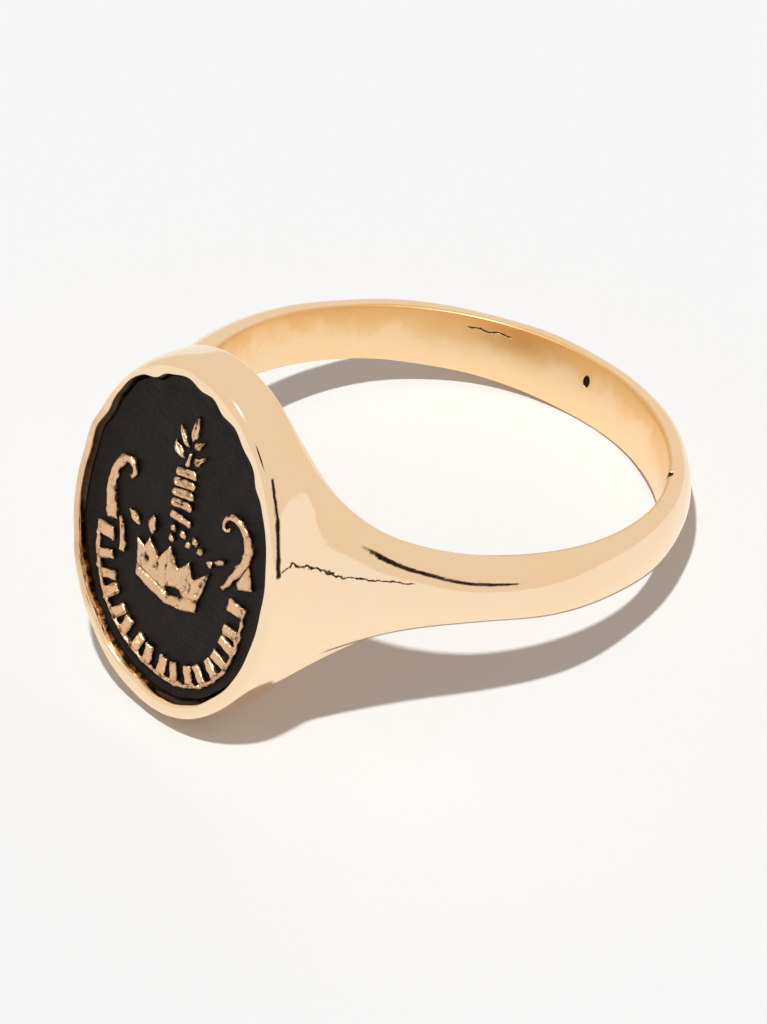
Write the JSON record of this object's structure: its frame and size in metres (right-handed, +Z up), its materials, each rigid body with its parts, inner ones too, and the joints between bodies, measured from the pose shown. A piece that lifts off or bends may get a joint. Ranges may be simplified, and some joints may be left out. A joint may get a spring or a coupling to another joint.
{
  "type": "signet ring",
  "caption": "Gold signet ring with a slim D-section band, a tall oval head and a raised crest on a blackened field inside an uneven rim.",
  "frame": {"origin": "centre of the bounding box at the table surface", "axes": "+Z up from the table, -Y towards the seal face, +X to the right when looking at the face"},
  "size_m": [0.0196, 0.0232, 0.0139],
  "materials": {
    "polished_gold": "polished 14 ct yellow gold, slightly wavy cast surface",
    "aged_gold": "satin gold relief with dark oxide left in its low places",
    "blackened": "brushed black oxide, satin"
  },
  "bodies": {
    "root": {"shank": "polished_gold", "head": "polished_gold", "seal_plate": "polished_gold", "black_field": "blackened", "coronet_inlay": "blackened", "sprig_leaf_1": "aged_gold", "sprig_leaf_2": "aged_gold", "sprig_leaf_3": "aged_gold", "sprig_leaf_4": "aged_gold", "sprig_leaf_5": "aged_gold", "sprig_stem": "aged_gold", "grip_wrap_1": "aged_gold", "grip_wrap_2": "aged_gold", "grip_wrap_3": "aged_gold", "grip_wrap_4": "aged_gold", "grip_collar": "aged_gold", "pellet_1": "aged_gold", "pellet_2": "aged_gold", "pellet_3": "aged_gold", "pellet_4": "aged_gold", "pellet_5": "aged_gold", "pellet_6": "aged_gold", "pellet_7": "aged_gold", "coronet": "aged_gold", "finial_leaf_right": "aged_gold", "finial_left_inner": "aged_gold", "finial_left_outer": "aged_gold", "ribbon_band": "aged_gold", "ribbon_fold_left": "aged_gold", "ribbon_tail_left": "aged_gold", "ribbon_tail_right": "aged_gold", "ribbon_end_right": "aged_gold"}
  },
  "joints": []
}
